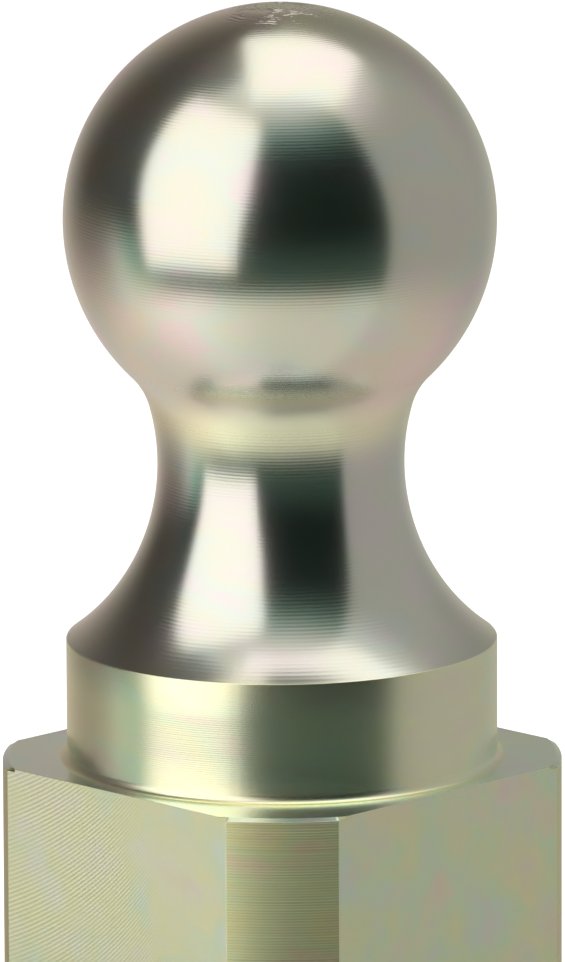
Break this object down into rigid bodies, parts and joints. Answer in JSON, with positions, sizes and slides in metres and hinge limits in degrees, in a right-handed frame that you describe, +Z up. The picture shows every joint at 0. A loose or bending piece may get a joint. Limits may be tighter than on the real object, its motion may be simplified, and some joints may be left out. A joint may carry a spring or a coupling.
{
  "type": "trailer hitch ball with receiver head",
  "caption": "Turnover gooseneck hitch: a trailer coupling ball on a square shank, held in an under-bed receiver head by a spring latch, with sprung safety-chain loops.",
  "frame": {"origin": "centre of the four mounting holes, on the underside of the mounting plate", "axes": "+Z up along the ball and its shank, +Y along the latch towards its handle, X along the plate's bolt pattern and between the safety-chain loops"},
  "size_m": [0.29, 0.323, 0.2843],
  "materials": {
    "plated_steel": "turned and milled steel under clear yellow-green iridescent zinc chromate",
    "galvanised_steel": "welded plate and tube, hot-dip galvanised, with a fine spangle",
    "zinc_steel": "bright zinc plate",
    "yellow_zinc": "yellow zinc plate over hot-bent bar",
    "black_oxide": "black oxide",
    "spring_steel": "drawn spring wire, oiled",
    "grip_plastic": "moulded, fine texture"
  },
  "bodies": {
    "head": {"receiver_tube": "galvanised_steel", "seat_plate": "galvanised_steel", "mount_plate": "galvanised_steel", "gussets": "galvanised_steel", "tube_weld": "galvanised_steel", "seat_weld": "galvanised_steel", "gusset_welds": "galvanised_steel", "guide_boss": "galvanised_steel", "boss_weld": "galvanised_steel", "latch_arms": "galvanised_steel", "arm_welds": "galvanised_steel", "latch_block": "galvanised_steel", "block_screws": "black_oxide", "detent_body": "zinc_steel", "spring_washer": "zinc_steel", "latch_spring": "spring_steel", "chain_springs_left": "spring_steel", "chain_springs_right": "spring_steel"},
    "ball_unit": {"hitch_ball": "plated_steel", "lift_pin": "zinc_steel"},
    "latch": {"latch_pin": "zinc_steel", "latch_rod": "zinc_steel", "rod_nut": "zinc_steel", "handle_grip": "grip_plastic", "grip_nut": "zinc_steel"},
    "detent": {"detent_nose": "zinc_steel"},
    "chain_left": {"u_bolt_left": "yellow_zinc", "chain_washers_left": "zinc_steel", "chain_nuts_left": "zinc_steel"},
    "chain_right": {"u_bolt_right": "yellow_zinc", "chain_washers_right": "zinc_steel", "chain_nuts_right": "zinc_steel"}
  },
  "joints": [
    {"name": "ball_lift", "type": "slide", "parent": "head", "child": "ball_unit", "axis": [0, 0, 1], "range_m": [0, 0.11]},
    {"name": "latch_slide", "type": "slide", "parent": "head", "child": "latch", "axis": [0, 1, 0], "range_m": [-0.038, 0], "deforming": ["latch_spring"]},
    {"name": "detent_press", "type": "slide", "parent": "head", "child": "detent", "axis": [0, 0, -1], "range_m": [0, 0.0012]},
    {"name": "chain_lift_left", "type": "slide", "parent": "head", "child": "chain_left", "axis": [0, 0, 1], "range_m": [0, 0.032], "stiffness_N_per_m": 3000, "springref_m": -0.005, "deforming": ["chain_springs_left"]},
    {"name": "chain_lift_right", "type": "slide", "parent": "head", "child": "chain_right", "axis": [0, 0, 1], "range_m": [0, 0.032], "stiffness_N_per_m": 3000, "springref_m": -0.005, "deforming": ["chain_springs_right"]}
  ]
}
